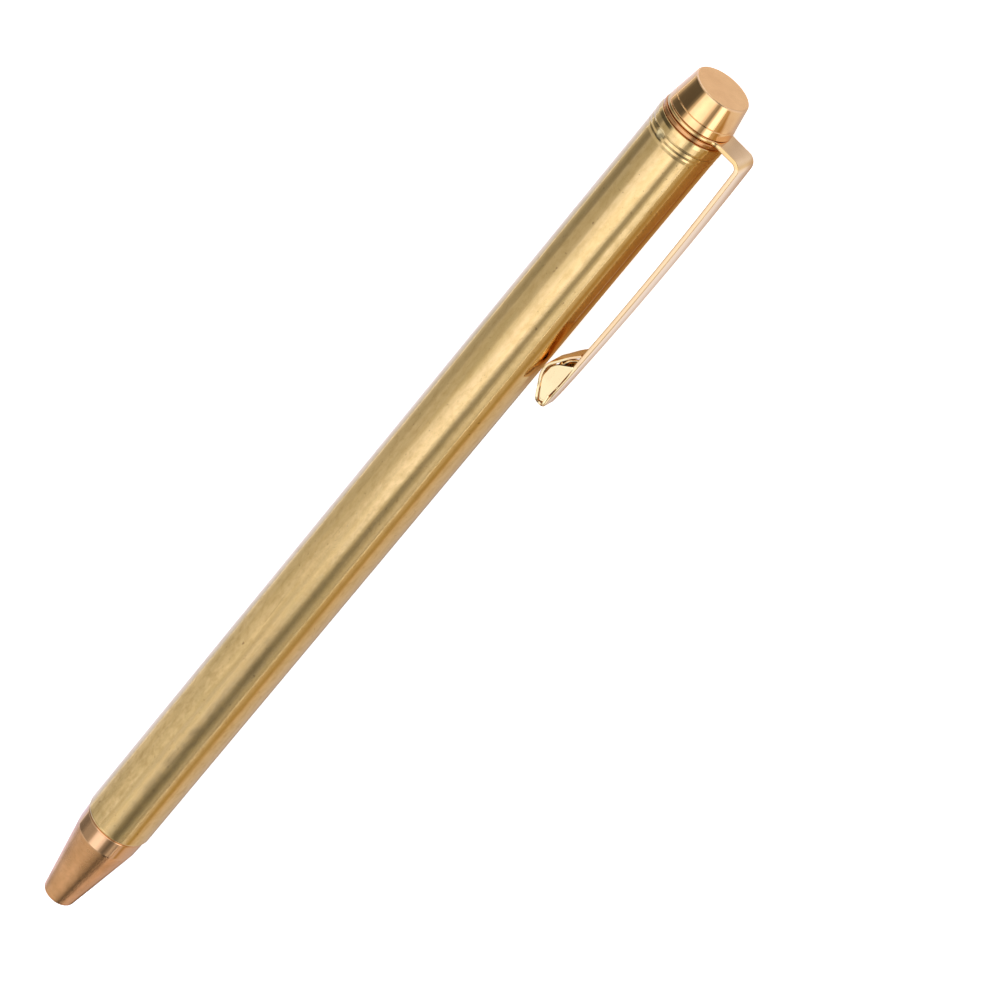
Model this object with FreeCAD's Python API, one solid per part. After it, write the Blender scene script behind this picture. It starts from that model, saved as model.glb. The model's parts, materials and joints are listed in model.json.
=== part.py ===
import FreeCAD, Part

import math
import os

from FreeCAD import Vector

# A slim brass twist pen with a 4 mm turning knob and a sheet-metal pocket clip.
#
# Every piece is built in the pen's own frame, in millimetres: X runs along the
# axis from the nose's end face (x = 0) to the knob's end face, the clip stands
# out towards +Y, and Z is the clip's width. At the end the whole pen is rolled
# about its axis until the clip touches the table, and moved so that the origin
# is under the middle of its box.

# Driving dimensions
TOTAL_LENGTH = 139.0
BARREL_RADIUS = 4.2
BARREL_BORE = 3.7
BARREL_START = 14.2
BARREL_END = 133.8
SEAM_X = 132.27              # where the barrel tube meets its top ring
SEAM_GAP = 0.02
LIP_RADIUS = 4.34            # the top ring's bead next to the seam
TUBE_LIP_RADIUS = 4.31       # the tube's swelling before the seam

NOSE_END_RADIUS = 2.1
COLLAR_RADIUS = 4.02
COLLAR_START = 11.5
NOSE_SHANK_END = 24.0
NOSE_HOLE_RADIUS = 1.25
SPRING_SEAT_X = 9.0

FLANGE_TOP = 134.36          # top of the bush's flange, under the clip
CLIP_THICKNESS = 0.56
CLIP_TOP = FLANGE_TOP + 0.02 + CLIP_THICKNESS
KNOB_START = CLIP_TOP + 0.06
KNOB_BASE_RADIUS = 4.0
KNOB_FACE_RADIUS = 3.36
KNOB_BAND = 1.0

TRAVEL = 5.5                 # how far the refill comes out
KNOB_TURN = 180.0            # degrees of the knob for that travel
TIP_X = 2.8                  # the ball's front, retracted
PIN_X = 124.5                # the follower pin, retracted
PIN_RADIUS = 0.5
PIN_ANGLE = 90.0             # direction of the follower pin, from the clip

REFILL_RADIUS = 3.0
REFILL_BORE = 2.6
REFILL_END = 100.8
FIT = 0.02                   # gap between pieces of one body that fit together
RUNNING = 0.1                # radial gap between pieces that move in each other

CLIP_HALF_WIDTH = 2.0
CLIP_OUTER = 7.42            # outer face of the arm at the bend
CLIP_BOW = 7.74              # outer face where the arm bows out furthest
CLIP_SPLIT_X = 132.6         # where the springy arm starts
CLIP_TIP_X = 96.35
CLIP_TOUCH = 4.28            # underside of the folded end, just off the barrel

ORIGIN = Vector(0, 0, 0)
AXIS = Vector(1, 0, 0)


def rounded_outline(corners):
    """Closed wire in the XY plane. A corner is (x, y) or (x, y, fillet radius)."""
    points = [Vector(corner[0], corner[1], 0) for corner in corners]
    radii = [corner[2] if len(corner) == 3 else 0 for corner in corners]
    ends = []
    edges = []
    for i, point in enumerate(points):
        if not radii[i]:
            ends.append((point, point))
            continue
        back = (points[i - 1] - point).normalize()
        ahead = (points[(i + 1) % len(points)] - point).normalize()
        half = back.getAngle(ahead) / 2
        reach = radii[i] / math.tan(half)
        middle = (back + ahead).normalize() * (radii[i] / math.sin(half) - radii[i])
        start = point + back * reach
        end = point + ahead * reach
        edges.append(Part.Arc(start, point + middle, end).toShape())
        ends.append((start, end))
    for i, (start, end) in enumerate(ends):
        following = ends[(i + 1) % len(ends)][0]
        if end.distanceToPoint(following) > 1e-6:
            edges.append(Part.makeLine(end, following))
    return Part.Wire(Part.__sortEdges__(edges))


def turned(corners):
    """A lathe-turned solid: the outline (x, radius) spun about the axis."""
    face = Part.Face(rounded_outline(corners))
    return face.revolve(ORIGIN, AXIS, 360)


def rod(start, end, radius):
    return Part.makeCylinder(radius, end - start, Vector(start, 0, 0), AXIS)


def tube(start, end, outer, inner):
    return rod(start, end, outer).cut(rod(start - 1, end + 1, inner))


def plate(outline, z_low, z_high):
    """A flat piece with an outline in the XY plane, from z_low to z_high."""
    face = Part.Face(outline)
    face.translate(Vector(0, 0, z_low))
    return face.extrude(Vector(0, 0, z_high - z_low))


def radial_rod(x, angle, radius, inner_end, outer_end):
    """A round rod square to the axis, pointing out at an angle from the clip."""
    direction = Vector(0, math.cos(math.radians(angle)), math.sin(math.radians(angle)))
    start = Vector(x, 0, 0) + direction * inner_end
    return Part.makeCylinder(radius, outer_end - inner_end, start, direction)


# Fixed pieces

def punch_mark():
    """The round dent across the seam that stakes the tube and its ring to the bush."""
    angle = math.radians(-108.7)
    out = Vector(0, math.cos(angle), math.sin(angle))
    return Part.makeSphere(0.78, Vector(SEAM_X - 0.22, 0, 0) + out * (BARREL_RADIUS + 0.6))


def barrel_tube():
    """Drawn tube, swaged into a low lip and a neck where it meets the top ring."""
    neck = BARREL_RADIUS - 0.02
    outline = [
        (BARREL_START, BARREL_BORE),
        (BARREL_START, BARREL_RADIUS, 0.45),
        (129.6, BARREL_RADIUS, 6.0),
        (SEAM_X - 0.82, TUBE_LIP_RADIUS, 0.12),
        (SEAM_X - 0.55, neck, 0.08),
        (SEAM_X - SEAM_GAP / 2, neck),
        (SEAM_X - SEAM_GAP / 2, BARREL_BORE),
    ]
    return turned(outline).cut(punch_mark())


def top_ring():
    """Short brass ring round the bush, between the barrel tube and the bush's flange."""
    start = SEAM_X + SEAM_GAP / 2
    outline = [
        (start, BARREL_BORE),
        (start, BARREL_RADIUS, 0.04),
        (start + 0.2, LIP_RADIUS, 0.12),
        (133.3, 4.25, 0.6),
        (BARREL_END, 4.06, 0.08),
        (BARREL_END, BARREL_BORE),
    ]
    return turned(outline).cut(punch_mark())


def nose_cone():
    """Turned nose: plain cone, polished collar, and a shank inside the barrel."""
    outline = [
        (0, NOSE_HOLE_RADIUS, 0.08),
        (0, NOSE_END_RADIUS, 0.22),
        (COLLAR_START, COLLAR_RADIUS, 0.9),
        (BARREL_START - 0.03, COLLAR_RADIUS, 0.14),
        (BARREL_START - 0.03, BARREL_BORE - 0.15),
        (BARREL_START + 0.4, BARREL_BORE - 0.15),
        (BARREL_START + 0.55, BARREL_BORE - FIT),
        (NOSE_SHANK_END - 0.3, BARREL_BORE - FIT),
        (NOSE_SHANK_END, BARREL_BORE - 0.3),
        (NOSE_SHANK_END, 3.15),
        (12.7, 3.15),
        (12.4, 2.65),
        (SPRING_SEAT_X, 2.65),
        (SPRING_SEAT_X, 1.9),
        (3.2, 1.9),
        (2.5, NOSE_HOLE_RADIUS),
    ]
    return turned(outline)


def top_bush():
    """Copper-coloured bush: plug in the barrel, thin flange, neck for the clip."""
    shaft_hole = 1.4
    neck = 2.2
    outline = [
        (129.3, shaft_hole),
        (129.3, BARREL_BORE - 0.25),
        (129.6, BARREL_BORE - FIT),
        (BARREL_END + 0.01, BARREL_BORE - FIT),
        (BARREL_END + 0.01, 4.12, 0.14),
        (FLANGE_TOP, 4.1, 0.2),
        (FLANGE_TOP, neck),
        (KNOB_START + 0.9, neck, 0.1),
        (KNOB_START + 0.9, shaft_hole),
    ]
    return turned(outline)


def clip_lock_nut():
    """Thin slotted nut on the bush's neck, hidden in the knob's hollow."""
    low = CLIP_TOP + 0.01
    high = KNOB_START + 0.85
    nut = turned([(low, 2.22), (low, 2.9, 0.1), (high, 2.9, 0.15), (high, 2.22)])
    slot = Part.makeBox(0.5, 7, 0.7, Vector(high - 0.35, -3.5, -0.35))
    return nut.cut(slot)


def guide_tube():
    """Fixed guide: a flange pressed in the barrel and a slotted tube above it."""
    bore = 2.0 + RUNNING
    outer = 2.6
    guide = turned([
        (104.5, bore),
        (104.5, BARREL_BORE - 0.25),
        (104.8, BARREL_BORE - FIT),
        (109.2, BARREL_BORE - FIT),
        (109.5, BARREL_BORE - 0.25),
        (109.5, outer, 0.3),
        (126.8, outer, 0.15),
        (126.8, bore),
    ])
    slot_radius = PIN_RADIUS + RUNNING
    slot_ends = (PIN_X - TRAVEL - 0.05, PIN_X + 0.05)
    slot = radial_rod(slot_ends[0], PIN_ANGLE, slot_radius, 0, 4)
    slot = slot.fuse(radial_rod(slot_ends[1], PIN_ANGLE, slot_radius, 0, 4))
    middle = Part.makeBox(slot_ends[1] - slot_ends[0], 2 * slot_radius, 4)
    middle.translate(Vector(slot_ends[0], -slot_radius, 0))
    middle.rotate(ORIGIN, AXIS, PIN_ANGLE - 90)
    return guide.cut(slot.fuse(middle).removeSplitter())


def return_spring():
    """Open coil between the nose's seat and the refill's shoulder."""
    wire = 0.2
    turns = 8
    start = SPRING_SEAT_X + wire + 0.02
    length = 9.6 - 2 * wire - 0.04
    coil = 2.25
    helix = Part.makeHelix(length / turns, length, coil)
    section = Part.Wire(Part.makeCircle(wire, Vector(coil, 0, 0), Vector(0, 1, 0)))
    spring = Part.Wire(helix).makePipeShell([section], True, True)
    spring.rotate(ORIGIN, Vector(0, 1, 0), 90)
    spring.translate(Vector(start, 0, 0))
    return spring


# Clip: one sheet, in two nodes because its arm bends

def clip_sheet():
    """The bent strip in side view, before its width is cut: plate, bend and arm."""
    low = CLIP_TOP - CLIP_THICKNESS
    inner = CLIP_OUTER - CLIP_THICKNESS
    arm_end = 98.9
    end_outer = 7.25
    bend = 1.25
    side = [
        Part.makeLine(Vector(0, 0, 0), Vector(0, CLIP_OUTER - bend, 0)),
        Part.Arc(
            Vector(0, CLIP_OUTER - bend, 0),
            Vector(-bend * (1 - math.sqrt(0.5)), CLIP_OUTER - bend * (1 - math.sqrt(0.5)), 0),
            Vector(-bend, CLIP_OUTER, 0),
        ).toShape(),
        Part.Arc(
            Vector(-bend, CLIP_OUTER, 0),
            Vector(117.0 - CLIP_TOP, CLIP_BOW, 0),
            Vector(arm_end - CLIP_TOP, end_outer, 0),
        ).toShape(),
        Part.makeLine(
            Vector(arm_end - CLIP_TOP, end_outer, 0),
            Vector(CLIP_TIP_X + 0.35 - CLIP_TOP, 6.98, 0),
        ),
        Part.Arc(
            Vector(CLIP_TIP_X + 0.35 - CLIP_TOP, 6.98, 0),
            Vector(CLIP_TIP_X - CLIP_TOP, 6.6, 0),
            Vector(CLIP_TIP_X + 0.35 - CLIP_TOP, 6.3, 0),
        ).toShape(),
        Part.makeLine(
            Vector(CLIP_TIP_X + 0.35 - CLIP_TOP, 6.3, 0),
            Vector(arm_end - CLIP_TOP, end_outer - CLIP_THICKNESS, 0),
        ),
        Part.Arc(
            Vector(arm_end - CLIP_TOP, end_outer - CLIP_THICKNESS, 0),
            Vector(117.0 - CLIP_TOP, CLIP_BOW - CLIP_THICKNESS, 0),
            Vector(-bend, inner, 0),
        ).toShape(),
        Part.Arc(
            Vector(-bend, inner, 0),
            Vector(
                -CLIP_THICKNESS - (bend - CLIP_THICKNESS) * (1 - math.sqrt(0.5)),
                inner - (bend - CLIP_THICKNESS) * (1 - math.sqrt(0.5)),
                0,
            ),
            Vector(-CLIP_THICKNESS, CLIP_OUTER - bend, 0),
        ).toShape(),
        Part.makeLine(Vector(-CLIP_THICKNESS, CLIP_OUTER - bend, 0), Vector(-CLIP_THICKNESS, 0, 0)),
        Part.makeLine(Vector(-CLIP_THICKNESS, 0, 0), Vector(0, 0, 0)),
    ]
    face = Part.Face(Part.Wire(Part.__sortEdges__(side)))
    face.translate(Vector(low + CLIP_THICKNESS, 0, -CLIP_HALF_WIDTH - 1))
    return face.extrude(Vector(0, 0, 2 * CLIP_HALF_WIDTH + 2))


def clip_width():
    """The strip's outline seen from outside: it narrows to a round end."""
    corners = [
        (CLIP_TOP + 1, -CLIP_HALF_WIDTH),
        (99.2, -1.4, 4),
        (CLIP_TIP_X, -0.85, 0.75),
        (CLIP_TIP_X, 0.85, 0.75),
        (99.2, 1.4, 4),
        (CLIP_TOP + 1, CLIP_HALF_WIDTH),
    ]
    face = Part.Face(rounded_outline(corners))
    outline = face.extrude(Vector(0, 0, 12))
    outline.rotate(ORIGIN, AXIS, -90)
    return outline


def clip_root():
    """The part of the washer that flares into the arm, with a fillet on each side."""
    fillet = 1.5
    low = CLIP_TOP - CLIP_THICKNESS
    centre_z = CLIP_HALF_WIDTH + fillet
    centre_y = math.sqrt((COLLAR_RADIUS + fillet) ** 2 - centre_z ** 2)
    touch_z = centre_z * COLLAR_RADIUS / (COLLAR_RADIUS + fillet)
    root = Part.makeBox(CLIP_THICKNESS, centre_y - 2, 2 * touch_z, Vector(low, 2, -touch_z))
    for side in (-1, 1):
        centre = Vector(low - 1, centre_y, side * centre_z)
        root = root.cut(Part.makeCylinder(fillet, CLIP_THICKNESS + 2, centre, AXIS))
    return root


def clip_ring():
    """The clip's washer, its radial arm and the bend."""
    strip = clip_sheet().common(clip_width())
    strip = strip.common(Part.makeBox(10, 20, 20, Vector(CLIP_SPLIT_X, 0, -10)))
    disc = rod(CLIP_TOP - CLIP_THICKNESS, CLIP_TOP, COLLAR_RADIUS)
    disc = disc.makeFillet(0.12, [edge for edge in disc.Edges if edge.Curve.TypeId == "Part::GeomCircle"])
    ring = disc.fuse([strip, clip_root()]).removeSplitter()
    return ring.cut(rod(CLIP_TOP - 2, CLIP_TOP + 2, 2.25))


def clip_end_plate(inset, z_low, z_high):
    """A plate with the folded end's outline, drawn in by an inset."""
    outline = rounded_outline([
        (105.0, 6.95),
        (101.5, CLIP_TOUCH, 2.6),
        (99.7, CLIP_TOUCH, 3.4),
        (CLIP_TIP_X + 0.05, 6.0, 0.7),
        (CLIP_TIP_X + 0.05, 6.7),
        (99.0, 7.0),
    ])
    if inset:
        outline = outline.makeOffset2D(-inset)
    return plate(outline, z_low, z_high)


def clip_arm():
    """The springy arm, its folded round end and the two flat cheeks inside it."""
    skin = 0.34
    cheek_gap = 0.1
    cheek_thickness = 0.3
    tongue = clip_end_plate(0, -3, 3).cut(clip_end_plate(skin, -4, 4))
    arm = clip_sheet().fuse(tongue).common(clip_width())
    for z_low in (0.82, -0.82 - cheek_thickness):
        cheek = clip_end_plate(skin + cheek_gap, z_low, z_low + cheek_thickness)
        hanger = Part.makeBox(4, 0.5, cheek_thickness, Vector(98.5, 6.4, z_low))
        arm = arm.fuse([cheek, hanger])
    arm = arm.common(Part.makeBox(60, 20, 20, Vector(CLIP_SPLIT_X - 60 - FIT, 0, -10)))
    return arm.removeSplitter()


# Pieces that turn with the knob

def knob():
    """Short tapered knob with a turned line above its base band, hollow below."""
    top = TOTAL_LENGTH
    line_x = KNOB_START + KNOB_BAND
    slope = (KNOB_BASE_RADIUS - KNOB_FACE_RADIUS) / (top - KNOB_START)
    line_radius = KNOB_BASE_RADIUS - slope * KNOB_BAND
    hollow = 3.1
    hollow_top = KNOB_START + 1.4
    shaft_hole = 1.3 + FIT
    return turned([
        (KNOB_START, hollow),
        (KNOB_START, KNOB_BASE_RADIUS, 0.12),
        (line_x - 0.07, line_radius, 0.03),
        (line_x, line_radius - 0.07, 0.02),
        (line_x + 0.07, line_radius, 0.03),
        (top, KNOB_FACE_RADIUS, 0.28),
        (top, 0),
        (top - 0.95, 0),
        (top - 0.95, shaft_hole),
        (hollow_top, shaft_hole),
        (hollow_top, hollow),
    ])


def drive_shaft():
    """Carries the knob's turn down through the bush to the cam sleeve."""
    return turned([
        (127.4, 0),
        (127.4, 0.98),
        (128.6 + FIT, 0.98),
        (128.6 + FIT, 1.3),
        (TOTAL_LENGTH - 1.0, 1.3, 0.15),
        (TOTAL_LENGTH - 1.0, 0),
    ])


def friction_washer():
    """Plastic washer that gives the knob its drag."""
    return tube(128.62, 129.22, 3.2, 1.32)


def cam_sleeve():
    """Cup with a helical slot that drives the follower pin along the pen."""
    inner = 2.6 + RUNNING
    outer = 3.4
    cup = turned([
        (113.5, inner),
        (113.5, outer, 0.15),
        (128.6, outer, 0.3),
        (128.6, 1.0),
        (127.4, 1.0),
        (127.4, inner),
    ])
    return cup.cut(helical_slot(inner, outer))


def helical_slot(inner, outer):
    """Left-hand slot that rises by TRAVEL in KNOB_TURN, with room at both ends."""
    spare = 14.0
    rise = TRAVEL / KNOB_TURN
    angle = KNOB_TURN + 2 * spare
    middle = (inner + outer) / 2
    half_depth = (outer - inner) / 2 + 0.3
    half_height = 0.72
    helix = Part.makeHelix(360 * rise, angle * rise, middle, 0, True)
    corners = [
        Vector(middle - half_depth, 0, -half_height),
        Vector(middle + half_depth, 0, -half_height),
        Vector(middle + half_depth, 0, half_height),
        Vector(middle - half_depth, 0, half_height),
    ]
    section = Part.makePolygon(corners + corners[:1])
    slot = Part.Wire(helix).makePipeShell([section], True, True)
    # the slot starts at its lower end, where the turned-out knob has the pin
    slot.rotate(ORIGIN, Vector(0, 0, 1), PIN_ANGLE + 90 + KNOB_TURN + spare)
    slot.rotate(ORIGIN, Vector(0, 1, 0), 90)
    slot.translate(Vector(PIN_X - TRAVEL - spare * rise, 0, 0))
    return slot


# Pieces that slide with the refill

def plunger():
    """Rod in the guide tube, with a head that pushes the refill."""
    rod_radius = 2.0
    body = turned([
        (REFILL_END + 0.01, 0),
        (REFILL_END + 0.01, 2.8, 0.2),
        (102.4, 2.8, 0.2),
        (102.4, rod_radius),
        (126.0, rod_radius, 0.3),
        (126.0, 0),
    ])
    return body.cut(radial_rod(PIN_X, PIN_ANGLE, PIN_RADIUS + 0.01, -1.4, 3))


def follower_pin():
    pin = radial_rod(PIN_X, PIN_ANGLE, PIN_RADIUS, -1.38, 3.3)
    return pin


def refill_tube():
    return tube(20.2 + 0.01, 96.0, REFILL_RADIUS, REFILL_BORE)


def refill_end_cap():
    """Plastic cap of the refill, with crossed vent slots in its end."""
    cap = turned([
        (90.0, 0.8),
        (90.0, REFILL_BORE - FIT, 0.2),
        (96.0 + 0.01, REFILL_BORE - FIT),
        (96.0 + 0.01, REFILL_RADIUS, 0.1),
        (REFILL_END, REFILL_RADIUS - 0.05, 0.2),
        (REFILL_END, 0.8),
    ])
    for turn in (0, 90):
        slot = Part.makeBox(1.2, 8, 0.8, Vector(REFILL_END - 0.9, -4, -0.4))
        slot.rotate(ORIGIN, AXIS, turn)
        cap = cap.cut(slot)
    return cap


def ink_column():
    return rod(24.3, 84.0, REFILL_BORE - FIT)


def ink_follower():
    """Clear grease that follows the ink down the tube."""
    return rod(84.0 + 0.02, 87.0, REFILL_BORE - FIT)


def refill_nozzle():
    """Stepped front of the refill: stem, spring shoulder and plug in the tube."""
    stem = 1.6
    shoulder = SPRING_SEAT_X + 9.6
    return turned([
        (8.3, 0.92),
        (8.3, stem, 0.2),
        (shoulder, stem),
        (shoulder, 2.7),
        (shoulder + 0.3, REFILL_RADIUS),
        (20.2, REFILL_RADIUS),
        (20.2, REFILL_BORE - FIT),
        (24.2, REFILL_BORE - FIT, 0.2),
        (24.2, 0.6),
        (11.4, 0.6),
        (11.4, 0.92),
    ])


BALL_RADIUS = 0.4
BALL_X = TIP_X + BALL_RADIUS
SOCKET_RADIUS = 0.43


def writing_tip():
    """Brass point that holds the ball in a spherical seat."""
    rim_x = BALL_X - 0.22
    body = turned([
        (rim_x, 0),
        (rim_x, 0.46),
        (5.0, NOSE_HOLE_RADIUS - RUNNING, 0.5),
        (8.3 - 0.01, NOSE_HOLE_RADIUS - RUNNING),
        (8.3 - 0.01, 0.9),
        (11.3, 0.9, 0.1),
        (11.3, 0),
    ])
    body = body.cut(Part.makeSphere(SOCKET_RADIUS, Vector(BALL_X, 0, 0)))
    return body.cut(rod(BALL_X, 12.0, 0.22))


def writing_ball():
    return Part.makeSphere(BALL_RADIUS, Vector(BALL_X, 0, 0))


PIECES = [
    barrel_tube, top_ring, nose_cone, top_bush, clip_ring, clip_arm, clip_lock_nut, guide_tube, return_spring,
    knob, drive_shaft, friction_washer, cam_sleeve,
    plunger, follower_pin, refill_tube, refill_end_cap, ink_column, ink_follower,
    refill_nozzle, writing_tip, writing_ball,
]


def roll_angle():
    """Degrees that put both the top ring's bead and the clip's outer corner on the table."""
    corner = math.hypot(CLIP_OUTER, CLIP_HALF_WIDTH)
    below = math.asin(LIP_RADIUS / corner) - math.atan(CLIP_HALF_WIDTH / CLIP_OUTER)
    return 180 + math.degrees(below)


def main():
    os.makedirs("parts", exist_ok=True)
    solids = {}
    for make in PIECES:
        solid = make()
        solid.rotate(ORIGIN, AXIS, roll_angle())
        solids[make.__name__] = solid
    boxes = [solid.optimalBoundingBox(False) for solid in solids.values()]
    middle_y = (min(box.YMin for box in boxes) + max(box.YMax for box in boxes)) / 2
    bottom = min(box.ZMin for box in boxes)
    shift = Vector(-TOTAL_LENGTH / 2, -middle_y, -bottom)
    for name, solid in solids.items():
        solid.translate(shift)
        solid.exportStep(f"parts/{name}.step")
    print("pen axis at y", round(-middle_y, 4), "z", round(-bottom, 4), "roll", round(roll_angle(), 3))


main()
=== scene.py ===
"""The looks of a slim brass twist pen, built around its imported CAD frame.

Lengths in the tables below are millimetres in the pen's own frame, as in the CAD source:
a runs along the axis from the nose's end face, r is the distance from the axis, and for
the clip (a, rho) is its side view, with rho measured from the axis towards the clip.
"""

import json
import math

import bmesh
import bpy
import numpy as np
from mathutils import Matrix, Vector


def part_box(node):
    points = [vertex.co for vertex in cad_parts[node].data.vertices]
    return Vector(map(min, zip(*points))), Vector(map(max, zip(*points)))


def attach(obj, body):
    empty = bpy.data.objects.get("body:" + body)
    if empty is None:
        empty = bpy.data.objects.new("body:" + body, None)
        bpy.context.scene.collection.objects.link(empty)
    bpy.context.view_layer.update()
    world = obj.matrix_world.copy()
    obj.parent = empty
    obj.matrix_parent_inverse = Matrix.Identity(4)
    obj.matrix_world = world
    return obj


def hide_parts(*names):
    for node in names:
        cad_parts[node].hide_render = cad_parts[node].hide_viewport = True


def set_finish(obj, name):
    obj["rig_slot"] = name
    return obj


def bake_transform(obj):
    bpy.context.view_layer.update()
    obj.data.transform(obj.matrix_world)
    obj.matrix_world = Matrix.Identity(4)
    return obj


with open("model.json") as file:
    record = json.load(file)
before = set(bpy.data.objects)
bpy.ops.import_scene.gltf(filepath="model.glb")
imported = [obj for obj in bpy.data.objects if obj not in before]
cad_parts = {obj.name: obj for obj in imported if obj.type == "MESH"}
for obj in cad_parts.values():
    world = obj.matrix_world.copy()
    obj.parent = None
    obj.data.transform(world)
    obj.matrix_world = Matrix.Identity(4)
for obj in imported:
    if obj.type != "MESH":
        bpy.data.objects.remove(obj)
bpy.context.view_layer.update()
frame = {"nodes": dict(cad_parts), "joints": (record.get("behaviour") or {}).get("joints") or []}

MM = 0.001
SEGMENTS = 256               # around a turned piece
FILLET_STEPS = 6
SHARP_ANGLE = math.radians(32)

# The pen's place in the frame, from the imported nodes
knob_low, knob_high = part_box("knob")
nose_low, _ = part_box("nose_cone")
AXIS_Y = (knob_low.y + knob_high.y) / 2
AXIS_Z = (knob_low.z + knob_high.z) / 2
NOSE_X = nose_low.x
clip_joint = next(j for j in frame["joints"] if j["name"] == "clip_flex")
WIDTH_WAY = Vector(clip_joint["axis"])
CLIP_WAY = WIDTH_WAY.cross(Vector((1, 0, 0))).normalized()


def place(a, toward_clip, across):
    """A point of the pen's own frame, in millimetres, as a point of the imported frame."""
    along = Vector((NOSE_X + a * MM, AXIS_Y, AXIS_Z))
    return along + CLIP_WAY * (toward_clip * MM) + WIDTH_WAY * (across * MM)


# Outlines

def rounded(corners, closed=True):
    """Points of an outline. A corner is (x, y) or (x, y, fillet radius)."""
    points = [Vector(corner[:2]) for corner in corners]
    radii = [corner[2] if len(corner) == 3 else 0 for corner in corners]
    found = []
    for i, point in enumerate(points):
        end_point = not closed and i in (0, len(points) - 1)
        if not radii[i] or end_point:
            found.append(point)
            continue
        back = (points[i - 1] - point).normalized()
        ahead = (points[(i + 1) % len(points)] - point).normalized()
        half = back.angle(ahead) / 2
        centre = point + (back + ahead).normalized() * (radii[i] / math.sin(half))
        start = point + back * (radii[i] / math.tan(half)) - centre
        turn = start.angle_signed(point + ahead * (radii[i] / math.tan(half)) - centre)
        steps = max(FILLET_STEPS, int(math.degrees(abs(turn)) / 8))
        for k in range(steps + 1):
            found.append(centre + Matrix.Rotation(-turn * k / steps, 2) @ start)
    return found


def refined(points, longest, closed=True):
    """The outline with long runs cut up, and a point close to each end of a run."""
    near = 0.12
    found = []
    count = len(points) if closed else len(points) - 1
    for i in range(count):
        start, end = points[i], points[(i + 1) % len(points)]
        found.append(start)
        length = (end - start).length
        if length < 4 * near:
            continue
        way = (end - start) / length
        steps = max(1, math.ceil((length - 2 * near) / longest))
        for k in range(steps + 1):
            found.append(start + way * (near + (length - 2 * near) * k / steps))
    if not closed:
        found.append(points[-1])
    return found


def cut_finer(points, low, high, longest):
    """The closed outline with each run that lies between two places cut up short."""
    found = []
    for start, end in zip(points, points[1:] + points[:1]):
        found.append(start)
        if max(start.x, end.x) < low or min(start.x, end.x) > high:
            continue
        steps = math.ceil((end - start).length / longest)
        found += [start.lerp(end, k / steps) for k in range(1, steps)]
    return found


def sideways(points, distance):
    """The open line moved to its left."""
    found = []
    for i, point in enumerate(points):
        along = (points[min(i + 1, len(points) - 1)] - points[max(i - 1, 0)]).normalized()
        found.append(point + Vector((-along.y, along.x)) * distance)
    return found


def eased(value, start, end):
    """0 at start and before, 1 at end and after, smooth between."""
    share = min(max((value - start) / (end - start), 0), 1)
    return share * share * (3 - 2 * share)


# Mesh makers

def finish_mesh(name, mesh_data):
    """A smooth-shaded object whose sharp corners stay sharp."""
    bmesh.ops.recalc_face_normals(mesh_data, faces=mesh_data.faces)
    mesh = bpy.data.meshes.new(name)
    mesh_data.to_mesh(mesh)
    mesh_data.free()
    mesh.shade_smooth()
    mesh.set_sharp_from_angle(angle=SHARP_ANGLE)
    piece = bpy.data.objects.new(name, mesh)
    bpy.context.scene.collection.objects.link(piece)
    return piece


def add_lathe(mesh_data, outline, longest=2.0, shape=None, finer=None):
    """Adds the closed outline (a, r) spun about the axis. shape may change each radius."""
    points = refined(rounded(outline), longest)
    if finer:
        points = cut_finer(points, *finer)
    rings = []
    for point in points:
        if point.y < 1e-6:
            rings.append([mesh_data.verts.new(place(point.x, 0, 0))])
            continue
        ring = []
        for k in range(SEGMENTS):
            angle = 2 * math.pi * k / SEGMENTS
            a, r = (point.x, point.y) if shape is None else shape(point.x, point.y, angle)
            ring.append(mesh_data.verts.new(place(a, r * math.cos(angle), r * math.sin(angle))))
        rings.append(ring)
    for i, ring in enumerate(rings):
        after = rings[(i + 1) % len(rings)]
        if len(ring) == 1 and len(after) == 1:
            continue
        for k in range(SEGMENTS):
            m = (k + 1) % SEGMENTS
            if len(ring) == 1:
                mesh_data.faces.new((ring[0], after[k], after[m]))
            elif len(after) == 1:
                mesh_data.faces.new((ring[k], after[0], ring[m]))
            else:
                mesh_data.faces.new((ring[k], after[k], after[m], ring[m]))


def lathe(name, outline, longest=2.0, shape=None, finer=None):
    mesh_data = bmesh.new()
    add_lathe(mesh_data, outline, longest, shape, finer)
    return finish_mesh(name, mesh_data)


def add_skin(mesh_data, rings):
    """Joins each ring of points to the next, and closes both ends."""
    for ring, after in zip(rings, rings[1:]):
        for k in range(len(ring)):
            m = (k + 1) % len(ring)
            mesh_data.faces.new((ring[k], after[k], after[m], ring[m]))
    mesh_data.faces.new(rings[0])
    mesh_data.faces.new(rings[-1])


def strip_section(half_thick, half_wide, edge):
    """A rounded oblong (out, across) for a piece of sheet."""
    edge = min(edge, 0.8 * half_thick, 0.8 * half_wide)
    corners = [
        (half_thick, half_wide, edge),
        (half_thick, -half_wide, edge),
        (-half_thick, -half_wide, edge),
        (-half_thick, half_wide, edge),
    ]
    return rounded(corners)


def add_strip(mesh_data, stations, edge, crown=None):
    """Adds a sheet-metal strip. A station is (a, rho, half thickness, half width).

    crown gives, for a place along the pen, how far the strip's edges stand off its middle.
    """
    centres = [Vector(station[:2]) for station in stations]
    rings = []
    for i, (a, rho, half_thick, half_wide) in enumerate(stations):
        before = centres[max(i - 1, 0)]
        after = centres[min(i + 1, len(centres) - 1)]
        along = (after - before).normalized()
        out = Vector((-along.y, along.x))
        ring = []
        for offset, across in strip_section(half_thick, half_wide, edge):
            lift = crown(a) * (across / half_wide) ** 2 if crown else 0
            point = centres[i] + out * (offset + lift)
            ring.append(mesh_data.verts.new(place(point.x, point.y, across)))
        rings.append(ring)
    add_skin(mesh_data, rings)


# Turned pieces

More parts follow.
